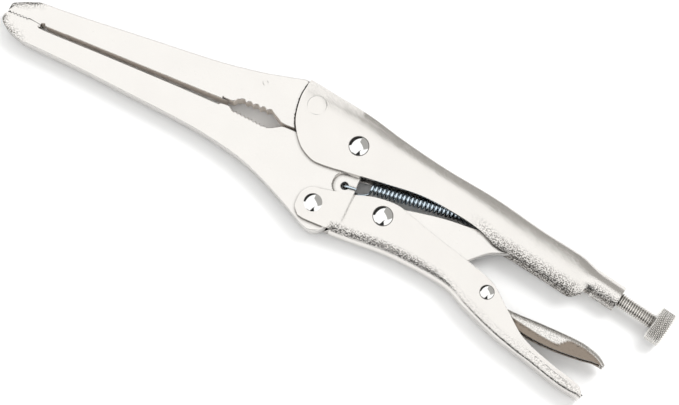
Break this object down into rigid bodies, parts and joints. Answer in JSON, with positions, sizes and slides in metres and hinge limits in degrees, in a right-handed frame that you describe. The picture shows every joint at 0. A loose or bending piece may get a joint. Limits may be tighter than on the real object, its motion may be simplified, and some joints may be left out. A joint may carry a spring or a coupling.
{
  "type": "long-nose locking pliers",
  "caption": "Long-nose locking pliers: long slim jaws with toothed tips and a pipe grip, folded sheet handles, a toggle link, a release lever and a knurled adjusting screw.",
  "frame": {"origin": "centre of the tool's box in plan, at the height of the surface it lies on", "axes": "+X along the closed jaws' meeting line towards the knob, +Y towards the handle that carries the screw, +Z along the rivets, up from the surface"},
  "size_m": [0.3778, 0.1011, 0.0187],
  "materials": {
    "plated_sheet": "satin nickel plating over pressed steel with a fine orange peel",
    "plated_forging": "satin nickel plating over forged steel",
    "rivet": "polished domed heads",
    "screw": "nickel plating over a cut thread and knurl",
    "spring": "blued spring steel"
  },
  "bodies": {
    "upper_handle": {"upper_handle": "plated_sheet", "upper_jaw": "plated_forging", "upper_jaw_rivet": "plated_sheet", "jaw_pivot_rivet": "rivet", "return_spring": "spring"},
    "lower_jaw": {"lower_jaw": "plated_forging"},
    "lower_handle": {"lower_handle": "plated_sheet", "jaw_link_rivet": "rivet", "toggle_rivet": "rivet", "release_rivet": "rivet"},
    "toggle_link": {"toggle_link": "plated_forging"},
    "release_lever": {"release_lever": "plated_sheet"},
    "adjusting_screw": {"adjusting_screw": "screw"},
    "screw_knob": {"screw_knob": "screw"}
  },
  "joints": [
    {"name": "jaw_pivot", "type": "hinge", "parent": "upper_handle", "child": "lower_jaw", "pos_m": [0.0083, 0.02665, 0.00935], "axis": [0, 0, 1], "range_deg": [0, 15], "deforming": ["return_spring"]},
    {"name": "handle_pivot", "type": "hinge", "parent": "lower_jaw", "child": "lower_handle", "pos_m": [-0.0019, -0.00955, 0.00935], "axis": [0, 0, 1], "range_deg": [-48.6, 0]},
    {"name": "link_pivot", "type": "hinge", "parent": "upper_handle", "child": "toggle_link", "pos_m": [0.11615, 0.01419, 0.00935], "axis": [0, 0, 1], "range_deg": [0, 16]},
    {"name": "release_pivot", "type": "hinge", "parent": "lower_handle", "child": "release_lever", "pos_m": [0.0963, -0.01855, 0.00935], "axis": [0, 0, 1], "range_deg": [-10, 0], "stiffness_Nm_per_rad": 0.05, "springref_deg": 11.46},
    {"name": "screw_travel", "type": "slide", "parent": "upper_handle", "child": "adjusting_screw", "axis": [0.9774, -0.2113, 0], "range_m": [0, 0.01]},
    {"name": "knob_spin", "type": "hinge", "parent": "adjusting_screw", "child": "screw_knob", "pos_m": [0.18236, -0.00012, 0.00935], "axis": [0.9774, -0.2113, 0], "range_deg": [0, 2881]}
  ],
  "couplings": [
    {"joint": "handle_pivot", "follows": "jaw_pivot", "ratio": -3.237},
    {"joint": "link_pivot", "follows": "jaw_pivot", "ratio": 1.063},
    {"joint": "knob_spin", "follows": "screw_travel", "rad_per_m": 5026.5}
  ]
}
